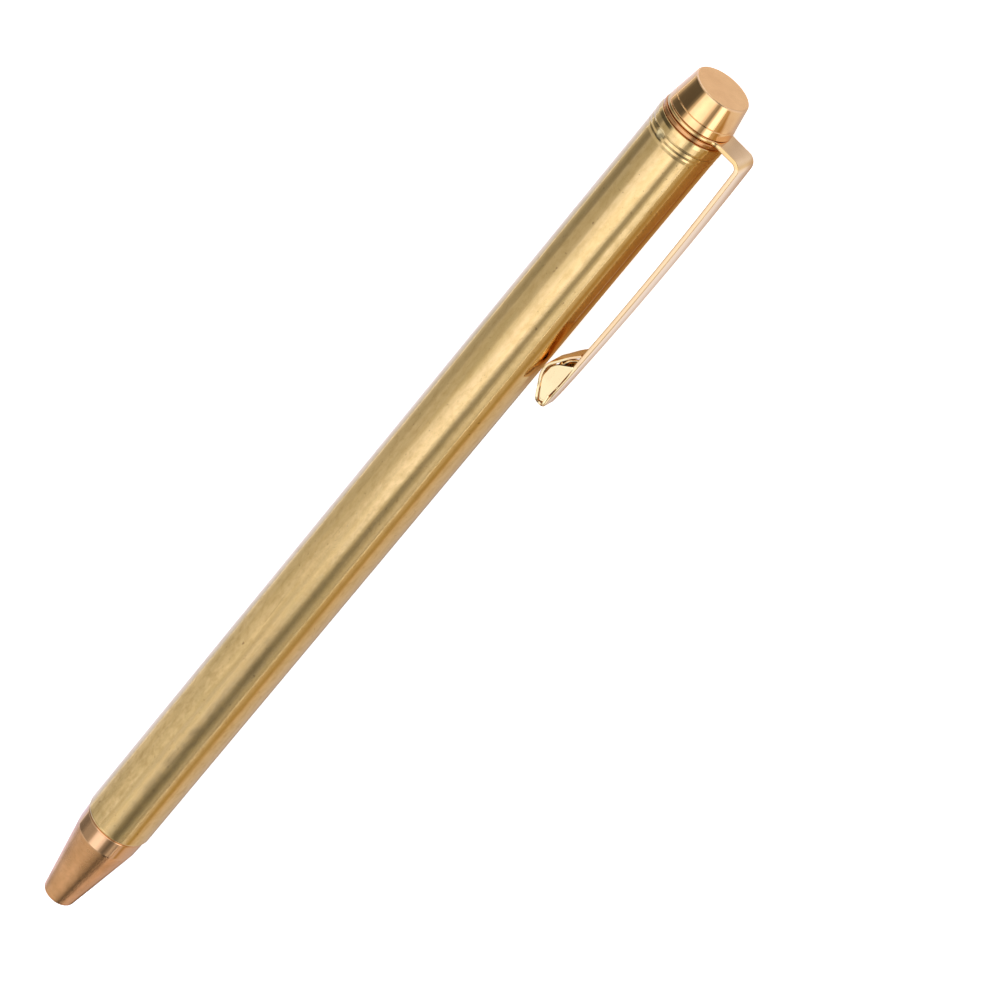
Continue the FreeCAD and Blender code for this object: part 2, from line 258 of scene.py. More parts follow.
BARREL = [
    (14.2, 3.7), (14.2, 4.2, 0.45), (131.0, 4.2, 1.0), (131.4, 4.225, 0.3), (131.62, 4.195, 0.12),
    (131.92, 4.225, 0.3), (132.26, 4.195), (132.26, 3.7),
]
TOP_RING = [
    (132.28, 3.7), (132.28, 4.195, 0.03), (132.55, 4.25, 0.4), (133.3, 4.25, 0.8),
    (133.72, 4.15, 0.12), (133.8, 3.95), (133.8, 3.7),
]
MARK_A = 132.05              # the punch mark across the seam
MARK_ANGLE = math.radians(-108.7)
MARK_RADIUS = 0.72
MARK_DEPTH = 0.13
MARK_BARE_HIGHLIGHT = 0.42             # bare metal with a painted highlight inside this radius, fading to the tarnish outside
MARK_FADED = 0.66


def staked(a, r, angle):
    """The outer face with the round punch mark pressed in."""
    if r < 4.0 or abs(a - MARK_A) > MARK_RADIUS or math.cos(angle - MARK_ANGLE) < 0:
        return a, r
    beside = r * math.sin(angle - MARK_ANGLE)
    away = math.hypot(beside, a - MARK_A)
    if away >= MARK_RADIUS:
        return a, r
    share = (1 + math.cos(math.pi * away / MARK_RADIUS)) / 2
    return a, r - share * MARK_DEPTH


def barrel_tube():
    piece = lathe("barrel_shell", BARREL, 2.0, staked, (130.9, 132.3, 0.08))
    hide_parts("barrel_tube")
    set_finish(piece, "barrel_brass")
    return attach(piece, "pen_body")


def top_ring():
    piece = lathe("top_ring_turning", TOP_RING, 2.0, staked, (132.2, 133.5, 0.08))
    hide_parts("top_ring")
    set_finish(piece, "barrel_brass")
    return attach(piece, "pen_body")


def nose_cone():
    outline = [
        (0, 1.25, 0.08), (0, 2.1, 0.22), (11.6, 3.93, 0.3), (14.1, 4.02, 0.14),
        (14.17, 3.9), (14.17, 3.55), (14.6, 3.55), (14.75, 3.68), (23.7, 3.68), (24.0, 3.4),
        (24.0, 3.15), (12.7, 3.15), (12.4, 2.65), (9.0, 2.65), (9.0, 1.9),
        (3.2, 1.9), (2.5, 1.25),
    ]
    piece = lathe("nose_turning", outline, 1.0)
    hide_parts("nose_cone")
    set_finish(piece, "nose_bronze")
    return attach(piece, "pen_body")


def top_bush():
    outline = [
        (129.3, 1.4), (129.3, 3.45), (129.6, 3.68), (133.81, 3.68), (133.81, 3.95), (133.9, 4.12, 0.1),
        (134.3, 4.11, 0.12), (134.36, 3.98), (134.36, 2.2), (135.9, 2.2, 0.1), (135.9, 1.4),
    ]
    piece = lathe("bush_turning", outline)
    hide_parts("top_bush")
    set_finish(piece, "copper_ring")
    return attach(piece, "pen_body")


def knob():
    outline = [
        (135.0, 3.1), (135.0, 4.0, 0.12), (135.93, 3.851, 0.03), (136.0, 3.77, 0.02),
        (136.07, 3.829, 0.03), (139.0, 3.36, 0.28), (139.0, 0), (138.05, 0),
        (138.05, 1.32), (136.4, 1.32), (136.4, 3.1),
    ]
    piece = lathe("knob_turning", outline, 0.5)
    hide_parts("knob")
    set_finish(piece, "knob_bronze")
    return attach(piece, "turning_knob")


def writing_tip():
    """The tip in front of the nozzle; its shank inside the nozzle is left out."""
    outline = [
        (2.98, 0.3), (2.98, 0.46, 0.03), (5.0, 1.15, 0.2), (8.29, 1.15), (8.29, 0.3),
    ]
    piece = lathe("tip_turning", outline, 0.8)
    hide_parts("writing_tip")
    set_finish(piece, "refill_metal")
    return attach(piece, "refill_carrier")


# The clip, one sheet-metal piece with its bend

SHEET_HALF = 0.28
END_HALF = 0.13              # the sheet is pressed thin over the folded end
EASED_EDGE = 0.13
STRIP_SINK = 0.004           # keeps the strip's faces just inside the washer's
TIP_HALF = 0.03
SKIN_HALF = 0.17
RIM_RADIUS = 4.02
ROOT_FILLET = 1.5
ARM_HALF_WIDTH = 2.0


def washer_rim(angle):
    """Radius of the washer's rim, flared into the arm with a fillet on each side."""
    turn = abs(math.remainder(angle, 2 * math.pi))
    centre_across = ARM_HALF_WIDTH + ROOT_FILLET
    centre_away = RIM_RADIUS + ROOT_FILLET
    centre_angle = math.asin(centre_across / centre_away)
    arm_start = centre_away * math.cos(centre_angle)
    if turn >= centre_angle:
        return RIM_RADIUS
    if turn <= math.atan2(ARM_HALF_WIDTH, arm_start):
        return arm_start / math.cos(turn)
    between = centre_angle - turn
    half_chord = math.sqrt(ROOT_FILLET ** 2 - (centre_away * math.sin(between)) ** 2)
    return centre_away * math.cos(between) - half_chord


def flared(a, r, angle):
    hole = 2.25
    share = (r - hole) / (RIM_RADIUS - hole)
    return a, r + share * (washer_rim(angle) - RIM_RADIUS)


def clip_half_width(a):
    """Half the strip's width: it tapers along the arm to a round tip."""
    outline = rounded([(136.0, 2.0), (98.6, 1.38, 5), (96.35, 1.12, 0.9), (96.35, 0)], closed=False)
    outline = sorted((point.x, point.y) for point in outline)
    return float(np.interp(a, [p[0] for p in outline], [p[1] for p in outline]))


def arc_through(start, middle, end, steps):
    """Points on the circle through three points."""
    ax, ay = start
    bx, by = middle
    cx, cy = end
    d = 2 * (ax * (by - cy) + bx * (cy - ay) + cx * (ay - by))
    a2, b2, c2 = ax * ax + ay * ay, bx * bx + by * by, cx * cx + cy * cy
    centre = Vector((
        (a2 * (by - cy) + b2 * (cy - ay) + c2 * (ay - by)) / d,
        (a2 * (cx - bx) + b2 * (ax - cx) + c2 * (bx - ax)) / d,
    ))
    first = Vector(start) - centre
    turn = -first.angle_signed(Vector(end) - centre)
    return [centre + Matrix.Rotation(turn * k / steps, 2) @ first for k in range(steps + 1)]


def clip_line():
    """The sheet's middle line: from inside the washer out, round the bend, along the arm."""
    line = [Vector((134.66, rho)) for rho in (3.0, 3.6, 4.2, 4.8, 5.4, 6.0)]
    bend_centre = Vector((133.69, 6.17))
    bend_radius = 0.97
    for k in range(13):
        angle = math.radians(90 * k / 12)
        line.append(bend_centre + bend_radius * Vector((math.cos(angle), math.sin(angle))))
    line += arc_through((133.69, 7.14), (117.0, 7.46), (98.0, 7.16), 40)[1:]
    tip = Vector((96.75, 7.1))
    run = tip - line[-1]
    line += [line[-1] + run * share for share in (0.3, 0.55, 0.7, 0.8, 0.87, 0.92, 0.96, 0.985, 1.0)]
    return line


def clip_stations():
    line = clip_line()
    tip = line[-1]
    stations = []
    for i, point in enumerate(line):
        thinned = (SHEET_HALF - END_HALF) * (1 - eased(point.x, 101.6, 103.8))
        half = SHEET_HALF - STRIP_SINK - thinned
        to_tip = (tip - point).length
        if to_tip < half:
            half = math.sqrt(max(half ** 2 - (half - to_tip) ** 2, TIP_HALF ** 2))
        stations.append((point.x, point.y + thinned, half, clip_half_width(point.x)))
    return stations


def clip_end():
    """The folded end's outer skin in side view, from its tip round to the arm."""
    corners = [
        (98.4, 7.43), (96.34, 7.42, 0.6), (96.34, 6.15, 0.8), (99.7, 4.28, 3.4),
        (101.5, 4.28, 2.6), (105.0, 6.95),
    ]
    return refined(rounded(corners, closed=False), 0.3, closed=False)


def tongue_crown(a):
    """The tongue is dished: its edges stand further off the barrel than its middle."""
    return (0.14 + 0.16 * eased(a, 96.8, 99.2)) * (1 - eased(a, 101.8, 104.0))


def tongue_stations():
    """The sheet folded back under the arm's end, thinner than the arm."""
    middle = sideways(clip_end(), SKIN_HALF)
    return [(p.x, p.y, SKIN_HALF, clip_half_width(p.x) + 0.07) for p in middle]


CHEEK_FLAT_BELOW = 99.6      # towards the tip from here the cheek no longer follows the taper
CHEEK = [
    (103.3, 7.25, 0.12), (101.75, 5.22, 1.7), (99.6, 5.12, 1.9), (97.1, 6.45, 0.4),
    (97.4, 7.0, 0.12), (100.5, 7.2, 6),
]


def add_cheek(mesh_data, corners, side):
    """Adds a thin plate with the outline (a, rho) that follows the clip's edge, a little inside."""
    outline = rounded(corners)
    middle = sum(outline, Vector((0, 0))) / len(outline)
    # how far below the clip's edge, and how far drawn in towards the middle
    layers = [
        (0.3, 0.7), (0.3, 0.3), (0.3, 0.03), (0.27, 0.0), (0.05, 0.0), (0.01, 0.01), (-0.01, 0.03),
        (-0.01, 0.1), (-0.01, 0.25), (-0.01, 0.4), (-0.01, 0.55), (-0.01, 0.7), (-0.01, 0.85),
        (-0.01, 0.97),
    ]
    rings = []
    for depth, drawn_in in layers:
        ring = []
        for point in outline:
            moved = point.lerp(middle, drawn_in)
            across = side * (clip_half_width(max(moved.x, CHEEK_FLAT_BELOW)) - depth)
            ring.append(mesh_data.verts.new(place(moved.x, moved.y, across)))
        rings.append(ring)
    add_skin(mesh_data, rings)


def clip():
    mesh_data = bmesh.new()
    washer = [
        (134.38, 2.25), (134.38, RIM_RADIUS, 0.25), (134.94, RIM_RADIUS, 0.25), (134.94, 2.25),
    ]
    add_lathe(mesh_data, washer, 0.6, flared)
    add_strip(mesh_data, clip_stations(), EASED_EDGE)
    add_strip(mesh_data, tongue_stations(), 0.08, tongue_crown)
    for side in (-1, 1):
        add_cheek(mesh_data, CHEEK, side)
    piece = finish_mesh("clip_sheet", mesh_data)
    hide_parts("clip_ring", "clip_arm")
    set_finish(piece, "clip_gold")
    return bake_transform(piece)


# The spring between the nose's seat and the refill's shoulder

SPRING_SEAT = 9.0
SPRING_TOP = 18.6


def return_spring():
    wire = 0.2
    coil = 2.25
    turns = 8
    end_gap = 0.02
    start = SPRING_SEAT + wire + end_gap
    length = SPRING_TOP - SPRING_SEAT - 2 * (wire + end_gap)
    per_turn = 36
    around_wire = 12
    mesh_data = bmesh.new()
    rings = []
    for k in range(turns * per_turn + 1):
        share = k / (turns * per_turn)
        angle = 2 * math.pi * turns * share
        a = start + length * share
        ring = []
        for m in range(around_wire):
            bit = 2 * math.pi * m / around_wire
            r = coil + wire * math.cos(bit)
            ring.append(mesh_data.verts.new(
                place(a + wire * math.sin(bit), r * math.cos(angle), r * math.sin(angle))
            ))
        rings.append(ring)
    add_skin(mesh_data, rings)
    piece = finish_mesh("spring_coil", mesh_data)
    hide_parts("return_spring")
    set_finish(piece, "steel")
    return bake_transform(piece)


# Material helpers

class Nodes:
    """Adds nodes to one material's tree."""

    def __init__(self, name):
        self.material = bpy.data.materials.new(name)
        self.material.use_nodes = True
        self.tree = self.material.node_tree
        self.shader = self.tree.nodes["Principled BSDF"]

    def add(self, kind, **settings):
        node = self.tree.nodes.new(kind)
        for key, value in settings.items():
            setattr(node, key, value)
        return node

    def feed(self, socket, value):
        if isinstance(value, bpy.types.NodeSocket):
            self.tree.links.new(value, socket)
        else:
            socket.default_value = value

    def coords(self, stretch):
        """Object coordinates in millimetres, times a stretch for each axis."""
        place_of = self.add("ShaderNodeTexCoord").outputs["Object"]
        scale = self.add("ShaderNodeVectorMath", operation="MULTIPLY")
        self.feed(scale.inputs[0], place_of)
        self.feed(scale.inputs[1], tuple(1000 * s for s in stretch))
        return scale.outputs[0]

    def noise(self, stretch, detail=4.0, rough=0.55, distortion=0.0):
        node = self.add("ShaderNodeTexNoise")
        self.feed(node.inputs["Vector"], self.coords(stretch))
        self.feed(node.inputs["Scale"], 1.0)
        self.feed(node.inputs["Detail"], detail)
        self.feed(node.inputs["Roughness"], rough)
        self.feed(node.inputs["Distortion"], distortion)
        return node.outputs["Fac"]

    def spread(self, value, low, high, to_low=0.0, to_high=1.0):
        node = self.add("ShaderNodeMapRange", clamp=True)
        self.feed(node.inputs["Value"], value)
        self.feed(node.inputs["From Min"], low)
        self.feed(node.inputs["From Max"], high)
        self.feed(node.inputs["To Min"], to_low)
        self.feed(node.inputs["To Max"], to_high)
        return node.outputs["Result"]

    def math(self, operation, first, second=0.0):
        node = self.add("ShaderNodeMath", operation=operation)
        self.feed(node.inputs[0], first)
        self.feed(node.inputs[1], second)
        return node.outputs[0]

    def mix(self, share, first, second):
        node = self.add("ShaderNodeMix", data_type="RGBA")
        self.feed(node.inputs["Factor"], share)
        self.feed(node.inputs["A"], first if not isinstance(first, tuple) else (*first, 1.0))
        self.feed(node.inputs["B"], second if not isinstance(second, tuple) else (*second, 1.0))
        return node.outputs["Result"]

    def mix_values(self, share, first, second):
        node = self.add("ShaderNodeMix", data_type="FLOAT")
        self.feed(node.inputs["Factor"], share)
        self.feed(node.inputs["A"], first)
        self.feed(node.inputs["B"], second)
        return node.outputs["Result"]

    def along(self, start, end):
        """0 before the place start along the pen, 1 after the place end, in millimetres."""
        parts = self.add("ShaderNodeSeparateXYZ")
        self.feed(parts.inputs[0], self.add("ShaderNodeTexCoord").outputs["Object"])
        return self.spread(parts.outputs["X"], NOSE_X + start * MM, NOSE_X + end * MM)

    def near(self, spot, inside, outside):
        """1 closer to a spot than inside, 0 further off than outside, in millimetres."""
        node = self.add("ShaderNodeVectorMath", operation="DISTANCE")
        self.feed(node.inputs[0], self.add("ShaderNodeTexCoord").outputs["Object"])
        self.feed(node.inputs[1], tuple(spot))
        return self.spread(node.outputs["Value"], outside * MM, inside * MM)

    def facing(self, way):
        """1 where the surface faces a way, -1 where it faces the other way."""
        node = self.add("ShaderNodeVectorMath", operation="DOT_PRODUCT")
        self.feed(node.inputs[0], self.add("ShaderNodeNewGeometry").outputs["Normal"])
        self.feed(node.inputs[1], tuple(way))
        return node.outputs["Value"]

    def ramp(self, value, stops):
        """Colours at values, the first and the last stop being the ends of the range."""
        low, high = stops[0][0], stops[-1][0]
        node = self.add("ShaderNodeValToRGB")
        elements = node.color_ramp.elements
        while len(elements) > 1:
            elements.remove(elements[-1])
        for k, (at, colour) in enumerate(stops):
            share = (at - low) / (high - low)
            element = elements[0] if k == 0 else elements.new(share)
            element.position = share
            element.color = (*colour, 1)
        self.feed(node.inputs[0], self.spread(value, low, high))
        return node.outputs[0]

    def bump(self, height, depth, before=None):
        node = self.add("ShaderNodeBump")
        self.feed(node.inputs["Height"], height)
        self.feed(node.inputs["Distance"], depth)
        if before is not None:
            self.feed(node.inputs["Normal"], before)
        return node.outputs["Normal"]


def barrel_material():
    """Drawn brass, polished and then handled: lengthwise streaks, thin tarnish, specks."""
    m = Nodes("drawn_brass")
    streaks = m.noise((0.05, 1.5, 1.5), detail=5)
    fine = m.noise((0.25, 9.0, 9.0), detail=3)
    scratches = m.noise((0.16, 13.0, 13.0), detail=2)
    clouds = m.noise((0.12, 0.4, 0.4), detail=6, distortion=1.0)
    mottle = m.noise((0.7, 1.3, 1.3), detail=5, rough=0.65)
    specks = m.noise((1.7, 2.2, 2.2), detail=2)
    worn = m.along(95, 30)
    colour = m.mix(m.spread(clouds, 0.42, 0.68), (0.81, 0.56, 0.235), (0.71, 0.50, 0.20))
    colour = m.mix(m.spread(streaks, 0.35, 0.72, 0.0, 0.6), colour, (0.88, 0.63, 0.31))
    colour = m.mix(m.spread(mottle, 0.45, 0.72, 0.0, 0.6), colour, (0.64, 0.42, 0.15))
    colour = m.mix(m.spread(scratches, 0.67, 0.74, 0.0, 0.5), colour, (0.42, 0.27, 0.10))
    colour = m.mix(m.spread(specks, 0.69, 0.76, 0.0, 0.6), colour, (0.30, 0.18, 0.07))
    # the punch mark is painted a lighter yellow: partly bare metal, partly a painted highlight
    mark = place(MARK_A, 4.1 * math.cos(MARK_ANGLE), 4.1 * math.sin(MARK_ANGLE))
    punch_bare_and_highlight = m.near(mark, MARK_BARE_HIGHLIGHT, MARK_FADED)
    colour = m.mix(punch_bare_and_highlight, colour, (1.0, 0.80, 0.42))
    m.feed(m.shader.inputs["Base Color"], colour)
    m.feed(m.shader.inputs["Metallic"], 1.0)
    rough = m.spread(clouds, 0.35, 0.7, 0.06, 0.13)
    rough = m.math("ADD", rough, m.spread(mottle, 0.4, 0.75, 0.0, 0.07))
    rough = m.math("ADD", rough, m.math("MULTIPLY", worn, 0.06))
    rough = m.math("ADD", rough, m.math("MULTIPLY", punch_bare_and_highlight, 0.22))
    m.feed(m.shader.inputs["Roughness"], rough)
    waves = m.bump(m.noise((0.06, 0.55, 0.55), detail=2), 1.8e-5)
    dents = m.bump(m.noise((0.45, 0.8, 0.8), detail=3), 8e-6, waves)
    m.feed(m.shader.inputs["Normal"], m.bump(fine, 1.6e-6, dents))
    return m.material


def nose_material():
    """Turned bronze: matt cone with fine lathe lines, bright collar next to the barrel."""
    m = Nodes("turned_bronze")
    collar = m.along(11.3, 11.6)
    lines = m.noise((7.0, 0.03, 0.03), detail=3, rough=0.7)
    clouds = m.noise((0.35, 0.45, 0.45), detail=6, distortion=0.6)
    specks = m.noise((2.2, 2.2, 2.2), detail=2)
    cone = m.mix(m.spread(clouds, 0.35, 0.7), (0.84, 0.435, 0.18), (0.63, 0.315, 0.115))
    cone = m.mix(m.spread(lines, 0.35, 0.7, 0.0, 0.25), cone, (0.9, 0.56, 0.33))
    cone = m.mix(m.spread(specks, 0.68, 0.76, 0.0, 0.5), cone, (0.26, 0.13, 0.05))
    colour = m.mix(collar, cone, (0.80, 0.47, 0.24))
    m.feed(m.shader.inputs["Base Color"], colour)
    m.feed(m.shader.inputs["Metallic"], 1.0)
    cone_rough = m.spread(clouds, 0.3, 0.7, 0.23, 0.28)
    collar_rough = 0.12
    m.feed(m.shader.inputs["Roughness"], m.mix_values(collar, cone_rough, collar_rough))
    m.feed(m.shader.inputs["Normal"], m.bump(lines, 6e-7))
    return m.material


def knob_material():
    """Polished bronze sides, a satin end face."""
    m = Nodes("polished_bronze")
    face = m.along(138.72, 138.98)
    clouds = m.noise((0.5, 0.5, 0.5), detail=5)
    lines = m.noise((11.0, 0.05, 0.05), detail=2)
    cloudy = m.spread(clouds, 0.35, 0.7)
    sides = m.mix(cloudy, (0.94, 0.575, 0.25), (0.86, 0.50, 0.21))
    end_face = m.mix(cloudy, (1.0, 0.665, 0.36), (0.93, 0.595, 0.315))
    m.feed(m.shader.inputs["Base Color"], m.mix(face, sides, end_face))
    m.feed(m.shader.inputs["Metallic"], 1.0)
    side_rough = m.spread(clouds, 0.3, 0.7, 0.055, 0.10)
    face_rough = 0.27
    m.feed(m.shader.inputs["Roughness"], m.mix_values(face, side_rough, face_rough))
    m.feed(m.shader.inputs["Normal"], m.bump(lines, 1.5e-7))
    return m.material


def plain_metal(name, colour, other, rough, stretch, depth=3e-7):
    """A metal with soft colour variation and fine marks along one way."""
    m = Nodes(name)
    clouds = m.noise(tuple(0.4 * s for s in stretch), detail=5)
    marks = m.noise(tuple(6.0 * s for s in stretch), detail=3)
    m.feed(m.shader.inputs["Base Color"], m.mix(m.spread(clouds, 0.35, 0.7), colour, other))
    m.feed(m.shader.inputs["Metallic"], 1.0)
    m.feed(m.shader.inputs["Roughness"], m.spread(marks, 0.3, 0.75, rough[0], rough[1]))
    m.feed(m.shader.inputs["Normal"], m.bump(marks, depth))
    return m.material


def clip_material():
    """Gold-plated sheet, polished outside; the arm's face towards the barrel is left satin and painted
    paler, painted light against the shade between arm and barrel.
    """
    m = Nodes("clip_sheet_gold")
    clouds = m.noise((0.05, 0.4, 0.4), detail=5)
    marks = m.noise((0.7, 6.0, 6.0), detail=3)
    side_on = m.spread(m.math("ABSOLUTE", m.facing((1, 0, 0))), 0.9, 0.7)
    washer = m.math("MULTIPLY", side_on, m.along(134.25, 134.4))
    beside = m.math("ABSOLUTE", m.facing(WIDTH_WAY))
    cheek = m.math("MULTIPLY", m.spread(beside, 0.8, 0.95), m.along(103.6, 103.3))
    colour = m.mix(m.spread(clouds, 0.35, 0.7), (0.94, 0.67, 0.38), (0.88, 0.60, 0.32))
    colour = m.mix(washer, colour, (0.88, 0.57, 0.24))
    # painted highlight: the cheeks of the folded end are painted a lighter cream than the rest of the
    # gold sheet
    colour = m.mix(cheek, colour, (0.96, 0.76, 0.41))
    # painted light: the arm's face towards the barrel is painted paler to offset the shade between arm
    # and barrel; it is also left satin
    inner = m.math("MULTIPLY", m.spread(m.facing(CLIP_WAY), -0.6, -0.9), m.along(103.5, 105.5))
    colour = m.mix(inner, colour, (0.97, 0.84, 0.58))
    m.feed(m.shader.inputs["Base Color"], colour)
    m.feed(m.shader.inputs["Metallic"], 1.0)
    rough = m.math("ADD", m.spread(marks, 0.3, 0.75, 0.06, 0.13), m.math("MULTIPLY", inner, 0.65))
    m.feed(m.shader.inputs["Roughness"], rough)
    m.feed(m.shader.inputs["Normal"], m.bump(marks, 3e-7))
    return m.material


def moulded(name, colour, other, rough, metallic=0.0):
    """Plastic, ink or grease: faint mottling and an orange-peel surface."""
    m = Nodes(name)
    mottle = m.noise((1.2, 1.2, 1.2), detail=4)
    peel = m.noise((7.0, 7.0, 7.0), detail=2)
    m.feed(m.shader.inputs["Base Color"], m.mix(mottle, colour, other))
    m.feed(m.shader.inputs["Metallic"], metallic)
    m.feed(m.shader.inputs["Roughness"], m.spread(mottle, 0.3, 0.7, rough[0], rough[1]))
    m.feed(m.shader.inputs["Normal"], m.bump(peel, 1e-6))
    return m.material


def all_materials():
    """One finish for each of the record's material slots."""
    lengthwise = (0.12, 1.0, 1.0)
    around = (1.0, 0.12, 0.12)
    white = (0.80, 0.80, 0.78)
    white_shade = (0.72, 0.72, 0.70)
    black = (0.03, 0.03, 0.032)
    black_shade = (0.045, 0.045, 0.047)
    return {
        "barrel_brass": barrel_material(),
        "nose_bronze": nose_material(),
        "knob_bronze": knob_material(),
        "copper_ring": plain_metal(
            "copper_bush", (0.70, 0.36, 0.15), (0.52, 0.25, 0.09), (0.08, 0.18), around
        ),
        "clip_gold": clip_material(),
        "inner_brass": plain_metal(
            "inner_brass", (0.76, 0.56, 0.27), (0.66, 0.47, 0.21), (0.22, 0.38), around
        ),
        "steel": plain_metal(
            "spring_steel", (0.60, 0.60, 0.59), (0.48, 0.48, 0.48), (0.18, 0.32), around
        ),
        "refill_metal": plain_metal(
            "refill_nickel", (0.66, 0.65, 0.62), (0.55, 0.54, 0.52), (0.16, 0.28), lengthwise
        ),
        "white_plastic": moulded("white_plastic", white, white_shade, (0.35, 0.5)),
        "black_plastic": moulded("black_plastic", black, black_shade, (0.35, 0.5)),
        "ink": moulded("ink", (0.01, 0.012, 0.03), (0.015, 0.018, 0.05), (0.1, 0.2)),
        "grease": moulded("grease", (0.55, 0.5, 0.36), (0.62, 0.56, 0.42), (0.2, 0.35)),
        "carbide": moulded(
            "carbide", (0.35, 0.35, 0.36), (0.28, 0.28, 0.29), (0.12, 0.2), metallic=1.0
        ),
    }


def give_materials(materials, made):
    for piece in made:
        piece.data.materials.clear()
        piece.data.materials.append(materials[piece["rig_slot"]])
    for node in frame["nodes"].values():
        for holder in node.material_slots:
            name = holder.material.name.split(".")[0] if holder.material else ""
            if name in materials:
                holder.material = materials[name]


# Studio: a glowing white floor, a soft sky, a card that only reflections show, and the camera.
# The sky's levels and the card's colours are listed and tuned for the main view.

def sky():
    """Soft light as a function of the angle about the pen's axis and of how far along it."""
    world = bpy.data.worlds.new("studio")
    bpy.context.scene.world = world
    world.use_nodes = True
    tree = world.node_tree
    tree.nodes.clear()

    def add(kind, **settings):
        node = tree.nodes.new(kind)
        for key, value in settings.items():
            setattr(node, key, value)
        return node

    def ramp(angle, stops):
        """Levels at angles in degrees from the floor at the pen's far side, cooler when bright."""
        node = add("ShaderNodeValToRGB")
        node.color_ramp.interpolation = "EASE"
        elements = node.color_ramp.elements
        while len(elements) > 1:
            elements.remove(elements[-1])
        for k, (degrees, level) in enumerate(stops):
            element = elements[0] if k == 0 else elements.new(degrees / 180)
            element.position = degrees / 180
            cool = min(max((level - 0.7) / 0.4, 0), 1)
            grey = level / 2
            element.color = (grey, grey * (1 + 0.03 * cool), grey * (1 + 0.2 * cool), 1)
        tree.links.new(angle, node.inputs[0])
        return node.outputs[0]

    way = add("ShaderNodeSeparateXYZ")
    tree.links.new(add("ShaderNodeTexCoord").outputs["Generated"], way.inputs[0])
    turn = add("ShaderNodeMath", operation="ARCTAN2")
    tree.links.new(way.outputs["Z"], turn.inputs[0])
    tree.links.new(way.outputs["Y"], turn.inputs[1])
    angle = add("ShaderNodeMath", operation="DIVIDE")
    tree.links.new(turn.outputs[0], angle.inputs[0])
    angle.inputs[1].default_value = math.pi
    # levels round the pen, first as the knob mirrors them and last as the cone does
    knob_level = ramp(angle.outputs[0], [
        (0, 0.75), (8, 0.55), (18, 0.16), (30, 0.11), (66, 0.11), (75, 0.18), (82, 0.6), (91, 1.35),
        (110, 1.65), (128, 1.45), (138, 1.0), (143, 0.45), (151, 0.3), (157, 0.9), (163, 2.0),
        (174, 2.0), (180, 1.3),
    ])
    top_level = ramp(angle.outputs[0], [
        (0, 0.72), (8, 0.5), (16, 0.32), (28, 0.25), (37, 0.28), (46, 0.52), (70, 0.56), (79, 0.6),
        (85, 0.98), (92, 1.15), (112, 1.45), (130, 1.5), (138, 1.15), (143, 0.52), (150, 0.42),
        (157, 0.75), (164, 1.3), (173, 1.35), (180, 1.0),
    ])
    middle_level = ramp(angle.outputs[0], [
        (0, 0.75), (12, 0.56), (36, 0.54), (48, 0.62), (70, 0.62), (80, 0.72), (88, 0.98),
        (110, 1.22), (126, 1.3), (133, 0.75), (139, 0.36), (148, 0.38), (156, 0.56), (168, 0.72),
        (180, 0.56),
    ])
    low_level = ramp(angle.outputs[0], [
        (0, 0.85), (14, 0.76), (36, 0.72), (60, 0.86), (79, 1.04), (88, 0.56), (95, 0.42),
        (106, 0.64), (114, 0.48), (122, 0.25), (134, 0.19), (150, 0.14), (158, 0.2), (170, 0.4),
        (180, 0.38),
    ])
    collar_level = ramp(angle.outputs[0], [
        (0, 0.34), (10, 0.14), (30, 0.16), (42, 0.26), (50, 0.38), (74, 0.38), (84, 0.55),
        (92, 1.2), (100, 1.45), (116, 1.5), (127, 1.15), (137, 0.36), (150, 0.16), (160, 0.3),
        (168, 0.65), (174, 0.5), (180, 0.2),
    ])
    nose_level = ramp(angle.outputs[0], [
        (0, 0.95), (20, 0.88), (36, 0.86), (50, 0.8), (80, 0.72), (95, 0.66), (112, 0.58),
        (128, 0.53), (142, 0.5), (150, 0.44), (157, 0.22), (164, 0.03), (180, 0.0),
    ])
    lengthwise = add("ShaderNodeMath", operation="ABSOLUTE")
    tree.links.new(way.outputs["X"], lengthwise.inputs[0])

    def mix(low, high, first, second):
        """The first level where the sky's direction is across the pen, the second along it."""
        share = add("ShaderNodeMapRange")
        tree.links.new(lengthwise.outputs[0], share.inputs["Value"])
        share.inputs["From Min"].default_value = low
        share.inputs["From Max"].default_value = high
        node = add("ShaderNodeMix", data_type="RGBA")
        tree.links.new(share.outputs[0], node.inputs["Factor"])
        tree.links.new(first, node.inputs["A"])
        tree.links.new(second, node.inputs["B"])
        return node.outputs["Result"]

    level = mix(0.20, 0.42, knob_level, top_level)
    level = mix(0.455, 0.52, level, middle_level)
    level = mix(0.53, 0.58, level, low_level)
    level = mix(0.612, 0.645, level, collar_level)
    level = mix(0.70, 0.80, level, nose_level)
    light = add("ShaderNodeBackground")
    light.inputs["Strength"].default_value = 2.0
    tree.links.new(level, light.inputs["Color"])
    tree.links.new(light.outputs[0], add("ShaderNodeOutputWorld").inputs["Surface"])


def flat_piece(name, x_low, x_high, y_low, y_high, z):
    mesh = bpy.data.meshes.new(name)
    corners = [(x_low, y_low, z), (x_high, y_low, z), (x_high, y_high, z), (x_low, y_high, z)]
    mesh.from_pydata(corners, [], [(0, 1, 2, 3)])
    piece = bpy.data.objects.new(name, mesh)
    bpy.context.scene.collection.objects.link(piece)
    return piece


def floor():
    """White floor that glows like a light table, so that the background is white."""
    piece = flat_piece("floor", -3, 3, -3, 3, 0)
    m = Nodes("pale_floor")
    colour = m.mix(m.noise((0.02, 0.02, 0.02)), (0.93, 0.93, 0.93), (0.95, 0.95, 0.95))
    m.feed(m.shader.inputs["Base Color"], colour)
    m.feed(m.shader.inputs["Roughness"], 0.95)
    m.feed(m.shader.inputs["Specular IOR Level"], 0.1)
    m.feed(m.shader.inputs["Emission Color"], (1, 1, 1, 1))
    m.feed(m.shader.inputs["Emission Strength"], 0.85)
    piece.data.materials.append(m.material)


